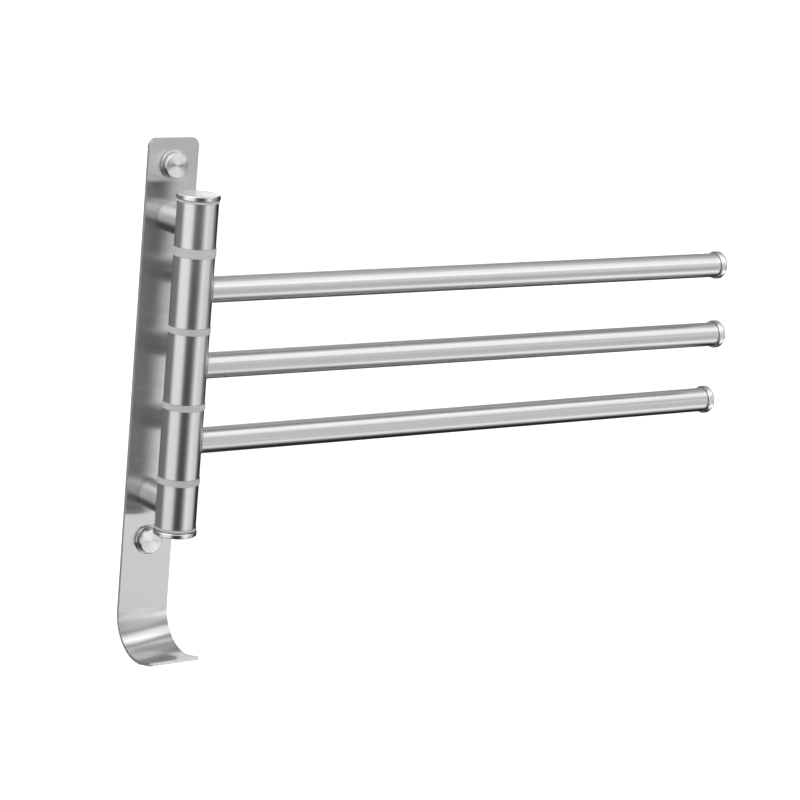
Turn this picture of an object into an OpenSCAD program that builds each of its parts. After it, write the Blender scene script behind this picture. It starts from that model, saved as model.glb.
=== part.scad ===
// Swing arm towel bar: a flat back plate that ends in a bent hook carries an upright post on
// two standoffs. Three tubular arms turn on the post, each welded to a hub of its own, and
// plastic rings between the hubs bear and centre them on a shaft inside the post.
//
// The wall is the plane y = 0 and the object stands out from it towards -Y. Z is up, and the
// origin lies on the plate's back face, midway between the two wall screws. The arms point
// along +X, swung a little way out from the wall.

/* [Post] */
// Outer diameter of the upright post
post_d = 25; // [22:0.5:30]
// Wall thickness of the tubes that make up the post
post_wall = 1.5; // [1:0.1:2]
// Height of each fixed sleeve, at the top and the bottom of the post
sleeve_h = 27; // [24:0.5:34]
// Height of each hub that turns with an arm
hub_h = 42.3; // [36:0.1:56]
// Width of the open gap between the back plate and the post
post_gap = 16.5; // [12:0.5:30]

/* [Bearing rings] */
// Height of the plastic ring above the first hub
first_ring_h = 5.5; // [4:0.5:8]
// Height of the plastic ring below each hub
ring_h = 4; // [3:0.5:6]
// Height of the thin plastic ring under each post cap
end_ring_h = 1.4; // [1:0.1:2]
// How far the rings stand out from the post
ring_proud = 0.5; // [0.2:0.1:1]
// Radius of a ring's rounded rims
ring_round = 0.5; // [0.2:0.1:0.6]
// Length of a bearing ring's spigot inside each tube next to it
spigot_h = 6; // [4:0.5:8]
// Length of the spigot of a ring under a post cap
end_spigot_h = 3; // [2:0.5:5]
// Running gap between a spigot and the tube around it
spigot_gap = 0.05; // [0.02:0.01:0.1]

/* [Shaft and post caps] */
// Diameter of the shaft through the post
shaft_d = 8; // [6:0.5:10]
// Gap between the shaft and the bores around it
shaft_gap = 0.05; // [0.02:0.01:0.1]
// Height of the disc of a post cap
cap_h = 3; // [2.5:0.1:5]
// How far a post cap stands out from the post
cap_proud = 0.7; // [0.4:0.1:1.5]
// Bevel along the rims of a post cap
cap_bevel = 0.45; // [0.2:0.05:0.8]
// Height of the neck between the bottom cap's disc and the ring above it
neck_h = 0.7; // [0.3:0.1:1.5]
// How far that neck lies in from the post's surface
neck_inset = 1.5; // [0.5:0.1:2.5]
// Diameter of the boss inside each post cap, which screws onto the shaft
boss_d = 14; // [12:0.5:15]
// Length of that boss
boss_h = 9; // [6:0.5:12]
// Gap between the boss and the ring around it
boss_gap = 0.1; // [0.05:0.05:0.3]
// Solid disc left between the shaft's end and a post cap's face
cap_floor = 1.2; // [1:0.1:2]
// Gap between the shaft's end and the bottom of its blind hole
shaft_end_gap = 0.2; // [0.1:0.1:0.5]
// Bevel at the shaft's ends
shaft_bevel = 0.6; // [0.3:0.1:1]

/* [Arms] */
// Outer diameter of each arm
arm_d = 16; // [14:0.5:20]
// Wall thickness of each arm's tube
arm_wall = 1; // [0.8:0.1:1.5]
// Distance from the post's axis to the end of an arm's tube
arm_reach = 410; // [250:5:600]
// Diameter of the vent hole behind the weld, between a hub's bore and its arm
vent_d = 9; // [6:0.5:11]
// Angle that the top arm is swung out from the wall, in degrees
top_turn = 1.8; // [0:0.1:60]
// Angle that the middle arm is swung out from the wall, in degrees
middle_turn = 2.6; // [0:0.1:60]
// Angle that the bottom arm is swung out from the wall, in degrees
bottom_turn = 2.1; // [0:0.1:60]

/* [Arm end caps] */
// Thickness of an end cap's head
end_cap_h = 5.5; // [4:0.5:8]
// How far an end cap stands out from its tube
end_cap_proud = 1.2; // [0.6:0.1:2]
// Radius of an end cap's outer rim
end_cap_round = 1.8; // [1:0.1:2.5]
// Bevel of an end cap's rim next to the tube
end_cap_bevel = 0.5; // [0.2:0.1:0.8]
// Relief behind an end cap's rim, which leaves a dark line next to the tube
end_cap_relief = 0.4; // [0.2:0.1:0.8]
// Length of an end cap's plug inside the tube
plug_h = 10; // [6:0.5:16]
// Gap between the plug and the tube
plug_gap = 0.05; // [0.02:0.01:0.1]

/* [Back plate] */
// Width of the back plate
plate_w = 35; // [30:1:45]
// Thickness of the back plate
plate_t = 2; // [2:0.1:3]
// Radius of the back plate's top corners
plate_corner = 5.5; // [2:0.5:12]
// Height of the plate's top edge above the upper wall screw
plate_rise = 16.1; // [12:0.1:24]
// Length of flat plate from the lower wall screw down to the bend of the hook
hook_drop = 44; // [20:0.5:70]
// Inner radius of the hook's bend
hook_r = 24; // [16:0.5:32]
// Angle of the bend, in degrees
hook_turn = 102; // [90:1:125]
// Length of the hook's straight lip
lip_len = 10.5; // [6:0.5:20]
// Radius of the lip's corners
lip_corner = 1.5; // [0.5:0.5:4]

/* [Standoffs] */
// Diameter of the two standoffs that hold the post
standoff_d = 18; // [14:0.5:20]
// Drop of each standoff below the middle of its sleeve
standoff_drop = 1.2; // [0:0.1:3]
// Thread diameter of the screw through the plate into each standoff
joint_screw_d = 4; // [3:0.5:5]
// Head diameter of that screw
joint_head_d = 7.6; // [7:0.1:7.6]
// Length of that screw
joint_screw_h = 13.8; // [10:0.1:15]
// How far its head lies below the plate's back face
joint_sink = 0.1; // [0.05:0.05:0.2]
// Width across flats of its hex socket
socket_w = 2.5; // [2:0.1:3]
// Depth of its hex socket
socket_h = 1.3; // [1:0.1:1.6]
// Spare depth of the tapped hole beyond the screw's end
tap_spare = 1; // [0.5:0.5:1.5]

/* [Wall screws and covers] */
// Height of the upper wall screw above the post's top, and of the lower one below its foot
screw_offset = 12.4; // [11.5:0.1:20]
// Clearance hole in the plate for a wall screw
wall_hole_d = 5.2; // [4.6:0.1:6]
// Thread diameter of the wall screws
wall_screw_d = 4; // [3.8:0.1:4.5]
// Shank diameter of the wall screws
wall_shank_d = 3.2; // [2.8:0.1:3.4]
// Head diameter of the wall screws
wall_head_d = 8; // [7:0.1:8.4]
// Length of a wall screw beyond the plate's back face
wall_depth = 19.5; // [15:0.5:20]
// Length of a wall screw's point
wall_point = 4; // [2:0.5:6]
// Diameter of a wall screw's tip
wall_tip_d = 0.4; // [0.2:0.1:1]
// Length of the cross recess in a wall screw's head
cross_l = 4.4; // [3:0.1:5]
// Width of the cross recess
cross_w = 1; // [0.8:0.1:1.2]
// Depth of the cross recess
cross_h = 1.4; // [1:0.1:1.8]
// Diameter of a cover's base ring
base_d = 18; // [17:0.5:22]
// Height of a cover's base ring
base_h = 1.2; // [0.8:0.1:2]
// Bevel of a cover's base ring
base_bevel = 0.4; // [0.2:0.1:0.6]
// Diameter of the threaded boss on a cover's base
base_boss_d = 14; // [13:0.5:14.5]
// Height of that boss
base_boss_h = 2.3; // [2:0.1:3.5]
// Diameter of a cover's cap
cover_d = 16; // [15.6:0.2:20]
// Thickness of the cap's face
cover_face = 1; // [0.8:0.1:2]
// Bevel around the cap's face
cover_bevel = 1; // [0.3:0.1:1.2]
// Width of the groove between a cover's cap and its base
cover_groove = 0.6; // [0.2:0.1:0.8]
// Gap between the cap and the boss inside it
cover_gap = 0.1; // [0.05:0.05:0.2]

/* [Hidden] */
$fn = 96;
steel = "silver";
nylon = "gainsboro";
// Number of sides of a hex socket
socket_sides = 6;
// How far a cut runs past the face it opens
overrun = 1;
// Clearance around the heads of countersunk screws and the threads of the standoffs
seat_gap = 0.05;

post_r = post_d / 2;
bore_r = post_r - post_wall;
spigot_r = bore_r - spigot_gap;
ring_r = post_r + ring_proud;
cap_r = post_r + cap_proud;
arm_r = arm_d / 2;
shaft_bore_r = shaft_d / 2 + shaft_gap;
boss_r = boss_d / 2;

// The stack of the post, measured down from its top
post_h = 2 * (cap_h + end_ring_h + sleeve_h) + first_ring_h + 3 * (hub_h + ring_h);
post_top = post_h / 2;
upper_sleeve_z = post_top - cap_h - end_ring_h - sleeve_h;
first_ring_z = upper_sleeve_z - first_ring_h;
top_hub_z = first_ring_z - hub_h;
second_ring_z = top_hub_z - ring_h;
middle_hub_z = second_ring_z - hub_h;
third_ring_z = middle_hub_z - ring_h;
bottom_hub_z = third_ring_z - hub_h;
fourth_ring_z = bottom_hub_z - ring_h;
lower_sleeve_z = fourth_ring_z - sleeve_h;
post_y = plate_t + post_gap + post_r;

// Heights of the fixings on the plate
screw_z = post_top + screw_offset;
upper_standoff_z = upper_sleeve_z + sleeve_h / 2 - standoff_drop;
lower_standoff_z = lower_sleeve_z + sleeve_h / 2 - standoff_drop;
plate_top = screw_z + plate_rise;
bend_z = -screw_z - hook_drop;

// Depth of the wall screws' seat, and size of a cover's cap
seat_h = base_h + base_boss_h;
wall_head_h = (wall_head_d - wall_shank_d) / 2;
joint_head_h = (joint_head_d - joint_screw_d) / 2;
cover_h = base_boss_h - cover_groove + cover_gap + cover_face;
cover_r = cover_d / 2;

// Puts a piece drawn around Z on the post's axis, with its foot at height z
module on_post(z) {
    translate([0, -post_y, z]) children();
}

// Puts a piece drawn around Z, foot at zero, on the wall's plane at height z, pointing out
module on_wall(z) {
    translate([0, 0, z]) rotate([90, 0, 0]) children();
}

// Lays a piece drawn around Z along an arm: Z runs out from the post's axis
module on_arm(z, turn) {
    translate([0, -post_y, z + hub_h / 2]) rotate([0, 90, -turn]) children();
}

// A tube around Z
module pipe(outer_r, inner_r, h) {
    difference() {
        cylinder(r = outer_r, h = h);
        translate([0, 0, -overrun]) cylinder(r = inner_r, h = h + 2 * overrun);
    }
}

// Outline of a disc's half section, from its axis to its rim, with the rim rounded
module round_rim(r, h, rim) {
    square([r - rim, h]);
    translate([0, rim]) square([r, h - 2 * rim]);
    translate([r - rim, rim]) circle(r = rim);
    translate([r - rim, h - rim]) circle(r = rim);
}

// What a rounded corner of radius r takes off, with the round's centre at the origin
module corner_cut(r) {
    difference() {
        square(r + overrun);
        circle(r = r);
    }
}

// Moves what is drawn around the hook's bend, whose axis is Z, to its place on the plate
module on_bend() {
    translate([0, -plate_t - hook_r, bend_z]) rotate([-90, 0, 90]) children();
}

// Side view of the plate around the bend's axis: the flat stretch, the bend and the lip
module plate_profile() {
    flat_l = plate_top - bend_z;
    outer_r = hook_r + plate_t;
    difference() {
        union() {
            circle(r = outer_r);
            translate([0, -flat_l]) square([outer_r, flat_l]);
            rotate(hook_turn) square([outer_r, lip_len]);
        }
        circle(r = hook_r);
        translate([-outer_r, -flat_l - overrun]) square([outer_r + hook_r, flat_l + overrun]);
        rotate(hook_turn) translate([-outer_r, 0])
            square([outer_r + hook_r, outer_r + lip_len]);
    }
}

module back_plate() {
    color(steel) difference() {
        on_bend() linear_extrude(plate_w, center = true) plate_profile();
        for (side = [0, 1]) mirror([side, 0, 0]) {
            rotate([90, 0, 0]) translate([0, 0, -overrun])
                linear_extrude(plate_t + 2 * overrun)
                    translate([plate_w / 2 - plate_corner, plate_top - plate_corner])
                        corner_cut(plate_corner);
            on_bend() rotate([0, 0, hook_turn]) translate([hook_r - overrun, 0, 0])
                rotate([90, 0, 90]) linear_extrude(plate_t + 2 * overrun)
                    translate([lip_len - lip_corner, plate_w / 2 - lip_corner])
                        corner_cut(lip_corner);
        }
        for (z = [-screw_z, screw_z])
            on_wall(z) translate([0, 0, -overrun])
                cylinder(d = wall_hole_d, h = plate_t + 2 * overrun);
        for (z = [lower_standoff_z, upper_standoff_z]) on_wall(z) {
            translate([0, 0, -overrun])
                cylinder(r = joint_screw_d / 2 + 3 * seat_gap, h = plate_t + 2 * overrun);
            countersink(joint_head_d / 2 + joint_sink + seat_gap);
        }
    }
}

// A right-angled countersink that opens at the wall's plane with radius r
module countersink(r) {
    translate([0, 0, -overrun]) cylinder(r1 = r + overrun, r2 = 0, h = r + overrun);
}

// A standoff: a bar from the plate, cut to the post's round at its far end and tapped
module standoff() {
    difference() {
        translate([0, 0, plate_t]) cylinder(d = standoff_d, h = post_y - plate_t);
        translate([0, -standoff_d, post_y]) rotate([-90, 0, 0])
            cylinder(r = post_r, h = 2 * standoff_d);
        translate([0, 0, plate_t - overrun])
            cylinder(r = joint_screw_d / 2 + seat_gap,
                h = joint_screw_h - plate_t + tap_spare + overrun);
    }
}

module upper_standoff() {
    color(steel) on_wall(upper_standoff_z) standoff();
}

module lower_standoff() {
    color(steel) on_wall(lower_standoff_z) standoff();
}

// The countersunk screw that holds a standoff, its head in the plate's back
module joint_screw() {
    translate([0, 0, joint_sink]) difference() {
        union() {
            cylinder(r1 = joint_head_d / 2, r2 = joint_screw_d / 2, h = joint_head_h);
            cylinder(d = joint_screw_d, h = joint_screw_h - joint_sink);
        }
        translate([0, 0, -overrun])
            cylinder(r = socket_w / (2 * cos(180 / socket_sides)), h = socket_h + overrun,
                $fn = socket_sides);
    }
}

module upper_joint_screw() {
    color(steel) on_wall(upper_standoff_z) joint_screw();
}

module lower_joint_screw() {
    color(steel) on_wall(lower_standoff_z) joint_screw();
}

module upper_sleeve() {
    color(steel) on_post(upper_sleeve_z) pipe(post_r, bore_r, sleeve_h);
}

module lower_sleeve() {
    color(steel) on_post(lower_sleeve_z) pipe(post_r, bore_r, sleeve_h);
}

// The shaft inside the post, bevelled at both ends
module shaft() {
    h = post_h + neck_h - 2 * (cap_floor + shaft_end_gap);
    r = shaft_d / 2;
    color(steel) on_post(cap_floor + shaft_end_gap - neck_h - post_top) {
        translate([0, 0, shaft_bevel]) cylinder(r = r, h = h - 2 * shaft_bevel);
        cylinder(r1 = r - shaft_bevel, r2 = r, h = shaft_bevel);
        translate([0, 0, h - shaft_bevel])
            cylinder(r1 = r, r2 = r - shaft_bevel, h = shaft_bevel);
    }
}

// A post cap: a bevelled disc with a boss that takes the shaft's end, face up
module post_cap() {
    difference() {
        rotate_extrude() {
            polygon([[0, 0], [cap_r - cap_bevel, 0], [cap_r, cap_bevel],
                [cap_r, cap_h - cap_bevel], [cap_r - cap_bevel, cap_h], [0, cap_h]]);
            translate([0, -boss_h]) square([boss_r, boss_h + cap_h / 2]);
        }
        translate([0, 0, -boss_h - overrun])
            cylinder(r = shaft_bore_r, h = boss_h + overrun + cap_h - cap_floor);
    }
}

module top_cap() {
    color(steel) on_post(post_top - cap_h) post_cap();
}

// The bottom cap is a post cap face down, with a neck between its disc and the ring
module bottom_cap() {
    color(steel) on_post(cap_h - post_top) mirror([0, 0, 1]) {
        difference() {
            cylinder(r = post_r - neck_inset, h = neck_h + cap_bevel);
            translate([0, 0, -overrun])
                cylinder(r = boss_r - neck_inset, h = neck_h + cap_bevel + 2 * overrun);
        }
        translate([0, 0, neck_h]) post_cap();
    }
}

// The thin ring between a post cap and its sleeve, its spigot hanging down
module end_ring() {
    difference() {
        rotate_extrude() {
            square([ring_r, end_ring_h]);
            translate([0, -end_spigot_h]) square([spigot_r, end_spigot_h + end_ring_h / 2]);
        }
        translate([0, 0, -end_spigot_h - overrun])
            cylinder(r = boss_r + boss_gap, h = end_spigot_h + end_ring_h + 2 * overrun);
    }
}

module top_ring() {
    color(nylon) on_post(upper_sleeve_z + sleeve_h) end_ring();
}

module bottom_ring() {
    color(nylon) on_post(lower_sleeve_z) mirror([0, 0, 1]) end_ring();
}

// A bearing ring: a proud band with a spigot above and below, bored for the shaft
module bearing_ring(h) {
    difference() {
        rotate_extrude() {
            round_rim(ring_r, h, ring_round);
            translate([0, -spigot_h]) square([spigot_r, h + 2 * spigot_h]);
        }
        translate([0, 0, -spigot_h - overrun])
            cylinder(r = shaft_bore_r, h = h + 2 * (spigot_h + overrun));
    }
}

module first_ring() {
    color(nylon) on_post(first_ring_z) bearing_ring(first_ring_h);
}

module second_ring() {
    color(nylon) on_post(second_ring_z) bearing_ring(ring_h);
}

module third_ring() {
    color(nylon) on_post(third_ring_z) bearing_ring(ring_h);
}

module fourth_ring() {
    color(nylon) on_post(fourth_ring_z) bearing_ring(ring_h);
}

// A hub with its foot at height z, vented towards its arm
module hub(z, turn) {
    difference() {
        on_post(z) pipe(post_r, bore_r, hub_h);
        on_arm(z, turn) cylinder(d = vent_d, h = post_r + overrun);
    }
}

module top_hub() {
    color(steel) hub(top_hub_z, top_turn);
}

module middle_hub() {
    color(steel) hub(middle_hub_z, middle_turn);
}

module bottom_hub() {
    color(steel) hub(bottom_hub_z, bottom_turn);
}

// The tube of the arm on the hub at height z, its near end cut to the hub's round
module arm_tube(z, turn) {
    difference() {
        on_arm(z, turn) cylinder(r = arm_r, h = arm_reach);
        on_arm(z, turn) cylinder(r = arm_r - arm_wall, h = arm_reach + overrun);
        on_post(z) cylinder(r = post_r, h = hub_h);
    }
}

module top_tube() {
    color(steel) arm_tube(top_hub_z, top_turn);
}

module middle_tube() {
    color(steel) arm_tube(middle_hub_z, middle_turn);
}

module bottom_tube() {
    color(steel) arm_tube(bottom_hub_z, bottom_turn);
}

// An end cap: a head with a rounded outer rim, and a plug that goes into the tube
module end_cap() {
    r = arm_r + end_cap_proud;
    seat_r = arm_r - arm_wall / 2;
    plug_r = arm_r - arm_wall - plug_gap;
    rotate_extrude() {
        polygon([[0, 0], [seat_r, 0], [seat_r, end_cap_relief],
            [r - end_cap_bevel, end_cap_relief], [r, end_cap_relief + end_cap_bevel],
            [r, end_cap_h - end_cap_round], [0, end_cap_h - end_cap_round]]);
        square([r - end_cap_round, end_cap_h]);
        translate([r - end_cap_round, end_cap_h - end_cap_round]) circle(r = end_cap_round);
        polygon([[0, -plug_h], [plug_r - end_cap_bevel, -plug_h],
            [plug_r, end_cap_bevel - plug_h], [plug_r, end_cap_bevel], [0, end_cap_bevel]]);
    }
}

module top_end_cap() {
    color(steel) on_arm(top_hub_z, top_turn) translate([0, 0, arm_reach]) end_cap();
}

module middle_end_cap() {
    color(steel) on_arm(middle_hub_z, middle_turn) translate([0, 0, arm_reach]) end_cap();
}

module bottom_end_cap() {
    color(steel) on_arm(bottom_hub_z, bottom_turn) translate([0, 0, arm_reach]) end_cap();
}

// The base of a screw cover: a bevelled ring and a boss that seats the wall screw's head
module cover_base() {
    r = base_d / 2;
    top_r = wall_head_d / 2 + seat_gap;
    translate([0, 0, plate_t]) difference() {
        rotate_extrude() {
            polygon([[0, 0], [r, 0], [r, base_h - base_bevel], [r - base_bevel, base_h],
                [0, base_h]]);
            square([base_boss_d / 2, seat_h]);
        }
        translate([0, 0, -overrun])
            cylinder(r = wall_shank_d / 2 + 3 * seat_gap, h = seat_h + 2 * overrun);
        translate([0, 0, seat_h - top_r])
            cylinder(r1 = 0, r2 = top_r + overrun, h = top_r + overrun);
    }
}

module upper_cover_base() {
    color(steel) on_wall(screw_z) cover_base();
}

module lower_cover_base() {
    color(steel) on_wall(-screw_z) cover_base();
}

// The cap of a screw cover: a shallow cup over the base's boss, bevelled around its face
module cover_cap() {
    translate([0, 0, plate_t + base_h + cover_groove]) difference() {
        rotate_extrude()
            polygon([[0, 0], [cover_r, 0], [cover_r, cover_h - cover_bevel],
                [cover_r - cover_bevel, cover_h], [0, cover_h]]);
        translate([0, 0, -overrun])
            cylinder(r = base_boss_d / 2 + cover_gap, h = cover_h - cover_face + overrun);
    }
}

module upper_cover_cap() {
    color(steel) on_wall(screw_z) cover_cap();
}

module lower_cover_cap() {
    color(steel) on_wall(-screw_z) cover_cap();
}

// A wall screw: countersunk head, slim shank, and a wider thread behind the plate
module wall_screw() {
    head_z = plate_t + seat_h;
    difference() {
        union() {
            translate([0, 0, head_z - wall_head_h])
                cylinder(r1 = wall_shank_d / 2, r2 = wall_head_d / 2, h = wall_head_h);
            cylinder(d = wall_shank_d, h = head_z - wall_head_h / 2);
            translate([0, 0, wall_point - wall_depth])
                cylinder(d = wall_screw_d, h = wall_depth - wall_point);
            translate([0, 0, -wall_depth])
                cylinder(d1 = wall_tip_d, d2 = wall_screw_d, h = wall_point);
        }
        for (a = [0, 90])
            translate([0, 0, head_z - cross_h]) rotate([0, 0, a])
                translate([-cross_l / 2, -cross_w / 2, 0])
                    cube([cross_l, cross_w, cross_h + overrun]);
    }
}

module upper_wall_screw() {
    color(steel) on_wall(screw_z) wall_screw();
}

module lower_wall_screw() {
    color(steel) on_wall(-screw_z) wall_screw();
}

back_plate();
upper_standoff();
lower_standoff();
upper_joint_screw();
lower_joint_screw();
upper_sleeve();
lower_sleeve();
shaft();
top_cap();
bottom_cap();
top_ring();
bottom_ring();
first_ring();
second_ring();
third_ring();
fourth_ring();
top_hub();
middle_hub();
bottom_hub();
top_tube();
middle_tube();
bottom_tube();
top_end_cap();
middle_end_cap();
bottom_end_cap();
upper_cover_base();
lower_cover_base();
upper_cover_cap();
lower_cover_cap();
upper_wall_screw();
lower_wall_screw();
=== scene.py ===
"""Finishes the swing arm towel bar: brushed steel tubes and plate, turned caps and covers,
moulded bearing rings, threads and weld beads, in a pale studio."""

import math

import bmesh
import bpy
from bpy.props import (
    FloatProperty,
    FloatVectorProperty,
    IntProperty,
    PointerProperty,
)
from mathutils import Euler, Matrix, Vector


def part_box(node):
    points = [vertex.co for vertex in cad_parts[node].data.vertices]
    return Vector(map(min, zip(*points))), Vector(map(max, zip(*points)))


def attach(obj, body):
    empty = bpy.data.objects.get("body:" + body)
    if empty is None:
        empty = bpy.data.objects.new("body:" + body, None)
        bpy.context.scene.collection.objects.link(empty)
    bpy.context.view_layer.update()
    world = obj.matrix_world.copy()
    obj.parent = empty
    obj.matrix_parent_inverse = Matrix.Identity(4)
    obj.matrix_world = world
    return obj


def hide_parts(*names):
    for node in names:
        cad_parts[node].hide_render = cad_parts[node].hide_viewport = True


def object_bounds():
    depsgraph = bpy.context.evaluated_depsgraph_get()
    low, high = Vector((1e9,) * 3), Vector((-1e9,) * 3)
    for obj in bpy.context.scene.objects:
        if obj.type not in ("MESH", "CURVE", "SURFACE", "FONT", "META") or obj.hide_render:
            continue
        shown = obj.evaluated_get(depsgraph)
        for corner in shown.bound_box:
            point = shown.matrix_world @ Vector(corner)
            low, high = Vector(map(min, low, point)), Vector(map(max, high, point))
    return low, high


bl_info = {
    "name": "Swing Arm Towel Bar",
    "version": (1, 0, 0),
    "blender": (4, 5, 0),
    "location": "3D View > Sidebar > Towel Bar",
    "description": "Finishes a wall-mounted towel bar with three swinging steel arms",
    "category": "Object",
}

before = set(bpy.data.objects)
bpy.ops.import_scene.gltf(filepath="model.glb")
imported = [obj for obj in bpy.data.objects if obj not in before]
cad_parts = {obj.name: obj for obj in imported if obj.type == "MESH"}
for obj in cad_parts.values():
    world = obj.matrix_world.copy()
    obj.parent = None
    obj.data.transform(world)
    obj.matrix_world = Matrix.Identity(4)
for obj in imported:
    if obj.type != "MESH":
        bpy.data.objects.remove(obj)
CAD_BOX = [list(corner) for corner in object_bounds()]

MM = 0.001
ARMS = ("top", "middle", "bottom")
LEVELS = ("upper", "lower")

# The tubes of the post from the top down, with the body that each rides on.
STACK = {
    "upper_sleeve": "bracket",
    "top_hub": "top_arm",
    "middle_hub": "middle_arm",
    "bottom_hub": "bottom_arm",
    "lower_sleeve": "bracket",
}

QUARTER_TURN = math.radians(90)
TO_DEGREES = 180.0 / math.pi
WHITE = (1.0, 1.0, 1.0, 1.0)

# What is left round a boss, for the thread of the piece that goes over it.
THREAD_PLAY = 0.1 * MM


def middle_of(node, axis=2):
    """The middle of a node's box along an axis: its height, where no axis is given."""
    low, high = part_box(node)
    return round((low[axis] + high[axis]) / 2, 6)


def radius_of(node):
    """Half of a node's width, rounded because its facets cut a little off."""
    low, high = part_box(node)
    return round((high.x - low.x) / 2, 5)


def ends_of(node, up):
    """The inner and the outer end of a piece at the top, or else at the foot, of the post."""
    low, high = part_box(node)
    return (low.z, high.z) if up else (high.z, low.z)


def depth_of(node):
    """How far in front of the wall a node starts and ends."""
    low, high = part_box(node)
    return -high.y, -low.y


POST_AXIS = Matrix.Translation((0.0, middle_of("upper_sleeve", 1), 0.0))
POST_RADIUS = radius_of("upper_sleeve")
RING_RADIUS = radius_of("first_ring")
CAP_RADIUS = radius_of("top_cap")
COVER_RADIUS = radius_of("upper_cover_cap")
BASE_RADIUS = radius_of("upper_cover_base")
STANDOFF_RADIUS = radius_of("upper_standoff")
PLATE_FRONT = round(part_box("upper_cover_base")[1].y, 6)


# The steel finishes. Of each: its lines to the metre, and where they differ from the settings or
# from a plain brushed surface, its roughness, how much and which way it smears a reflection, how
# deep its lines are, and the attribute they follow.
STEELS = {
    "brushed_plate_steel": {"lines": 8000.0, "roughness": 0.25, "smear": 1.0},
    "brushed_standoff_steel": {"lines": 6000.0, "roughness": 0.45, "smear": 0.8},
    "brushed_post_steel": {"lines": 6500.0, "smear_turn": 0.25},
    "brushed_arm_steel": {"lines": 6500.0},
    "turned_cap_steel": {
        "lines": 3800.0, "roughness": 0.27, "smear": 0.6, "smear_turn": 0.25, "depth": 1.5,
    },
    "turned_end_steel": {"lines": 3600.0, "roughness": 0.3, "smear": 0.0, "depth": 1.2},
    "turned_upper_cover_steel": {"lines": 8000.0, "roughness": 0.2, "smear": 0.0, "depth": 120.0},
    "turned_lower_cover_steel": {"lines": 8000.0, "roughness": 0.2, "smear": 0.0, "depth": 60.0},
    "ground_shaft_steel": {"lines": 7000.0, "roughness": 0.3, "smear": 0.0, "grain": ""},
}

# The studio's distant lights. Of each: its strength, its middle and half width round the object
# from +X towards +Y, its lowest and highest elevation, and how soft its ends and its lower and
# upper edges are, in degrees.
SOFT_LIGHTS = {
    "left": (1.42, -170, 30, -22, 65, 13, 10),
    "front": (0.74, -62, 29, -3, 36, 9, 7),
    "front_right": (1.4, -27, 16, -2, 12, 8, 7),
    "front_low": (1.28, -64, 13, -22, -3, 8, 7),
    "low": (1.15, -26, 20, -45, -23, 9, 7),
    "under": (0.55, -44, 37, -54, -28, 12, 9),
    "high_right": (1.23, -10, 23, 42, 56, 9, 7),
    "overhead": (0.36, 0, 200, 53, 100, 10, 9),
    "high_back": (0.6, 105, 60, 57, 100, 20, 8),
    "right": (0.52, 31, 25, 30, 54, 9, 8),
    "right_edge": (1.24, 62, 14, 0, 27, 9, 7),
    "right_low": (0.65, 73, 23, -50, -12, 10, 8),
    "behind": (0.22, 128, 37, -26, 60, 14, 12),
}

# The long strips of light beside the arms, on a screen that curves round the arms' line through
# the post. Of each: its strength, its two ends along the arms in metres, its lower and upper edge
# round the arms in degrees up from the front, and how soft its ends and its edges are.
STRIP_LIGHTS = {
    "over_arms": (1.26, 0, 1.1, 34, 71, 0.1, 10),
    "over_plate": (0.9, -0.5, -0.02, 24, 144, 0.07, 12),
    "under_arms": (0.33, 0, 1.1, -61, -15, 0.1, 10),
}

# The screen's ends along the arms in metres, its lowest edge and its height round the arms in
# degrees, and its number of facets.
SCREEN_ENDS = (-0.6, 1.3)
SCREEN_FOOT, SCREEN_HEIGHT, SCREEN_FACETS = -80, 235, 80


# Properties


def number(name, description, default, **more):
    """A property for a number."""
    return FloatProperty(name=name, description=description, default=default, **more)


def size(name, description, millimetres, digits=5):
    """A property for a size, given in millimetres."""
    default = millimetres * MM
    return number(name, description, default, unit="LENGTH", precision=digits, min=0.0)


def angle(name, description, degrees):
    """A property for an angle, given in degrees."""
    return number(name, description, math.radians(degrees), subtype="ANGLE")


def share(name, description, default, highest=1.0):
    """A property for a share of the whole."""
    return number(name, description, default, subtype="FACTOR", min=0.0, max=highest)


def colour(name, description, default):
    """A property for a colour."""
    limits = {"subtype": "COLOR", "size": 3, "min": 0.0, "max": 1.0}
    return FloatVectorProperty(name=name, description=description, default=default, **limits)


class TowelBarTubes(bpy.types.PropertyGroup):
    """Sizes of the post's and the arms' tubes."""

    post_wall: size("Post Wall", "Wall of the post's tubes", 1.5)
    arm_radius: size("Arm Radius", "Outer radius of an arm", 8)
    arm_wall: size("Arm Wall", "Wall of an arm's tube", 1)
    arm_reach: size("Arm Reach", "From the post's axis to the end of an arm's tube", 410)
    foot_rim: size("Foot Rim", "Bevel round a standoff's foot on the plate", 0.5)
    rim: size("Rim", "Rounding left by deburring along a cut edge", 0.18)
    top_turn: angle("Top Turn", "Swing of the top arm out from the wall", 1.8)
    middle_turn: angle("Middle Turn", "Swing of the middle arm out from the wall", 2.6)
    bottom_turn: angle("Bottom Turn", "Swing of the bottom arm out from the wall", 2.1)


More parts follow.
